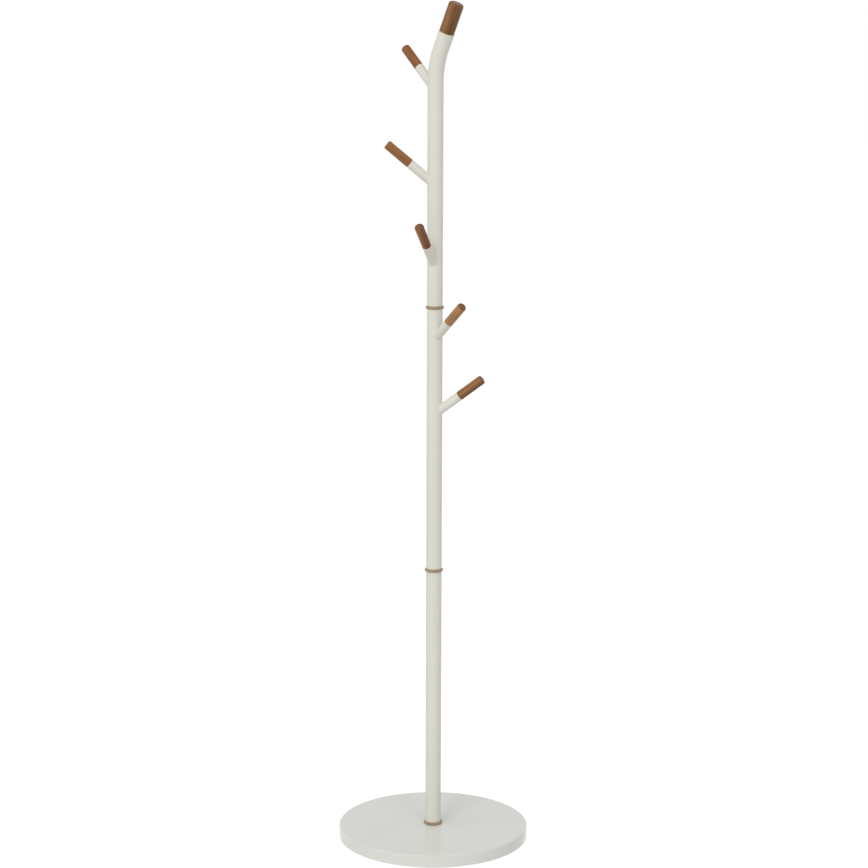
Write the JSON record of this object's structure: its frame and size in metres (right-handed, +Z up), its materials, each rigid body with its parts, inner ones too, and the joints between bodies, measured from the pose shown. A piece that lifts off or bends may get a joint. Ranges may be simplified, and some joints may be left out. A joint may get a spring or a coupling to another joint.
{
  "type": "standing coat rack",
  "caption": "Free-standing coat rack: round flat base, jointed white tube post with a bent top, and short upward branches with walnut ends for hanging coats.",
  "frame": {"origin": "on the floor plane, under the middle of the round base, at the post's axis", "axes": "+Z up along the post; +X to the right and -Y towards a viewer who sees the bent top lean forward to the right"},
  "size_m": [0.392, 0.392, 1.7218],
  "materials": {
    "base_lacquer": "gloss",
    "post_paint": "satin",
    "walnut": "satin",
    "collar_wood": "satin",
    "zinc_steel": "satin",
    "felt": "matte"
  },
  "bodies": {
    "root": {"base_disc": "base_lacquer", "felt_pad_1": "felt", "felt_pad_2": "felt", "felt_pad_3": "felt", "felt_pad_4": "felt", "felt_pad_5": "felt", "felt_pad_6": "felt", "base_washer": "zinc_steel", "base_bolt": "zinc_steel", "base_collar": "collar_wood", "lower_tube": "post_paint", "lower_tube_bottom_insert": "zinc_steel", "lower_tube_top_insert": "zinc_steel", "lower_joint_collar": "collar_wood", "lower_joint_stud": "zinc_steel", "middle_tube": "post_paint", "middle_tube_bottom_insert": "zinc_steel", "middle_tube_top_insert": "zinc_steel", "upper_joint_collar": "collar_wood", "upper_joint_stud": "zinc_steel", "upper_tube": "post_paint", "upper_tube_bottom_insert": "zinc_steel", "top_wood_cap": "walnut", "branch_tube_1": "post_paint", "wood_tip_1": "walnut", "branch_tube_2": "post_paint", "wood_tip_2": "walnut", "branch_tube_3": "post_paint", "wood_tip_3": "walnut", "branch_tube_4": "post_paint", "wood_tip_4": "walnut", "branch_tube_5": "post_paint", "wood_tip_5": "walnut"}
  },
  "joints": []
}
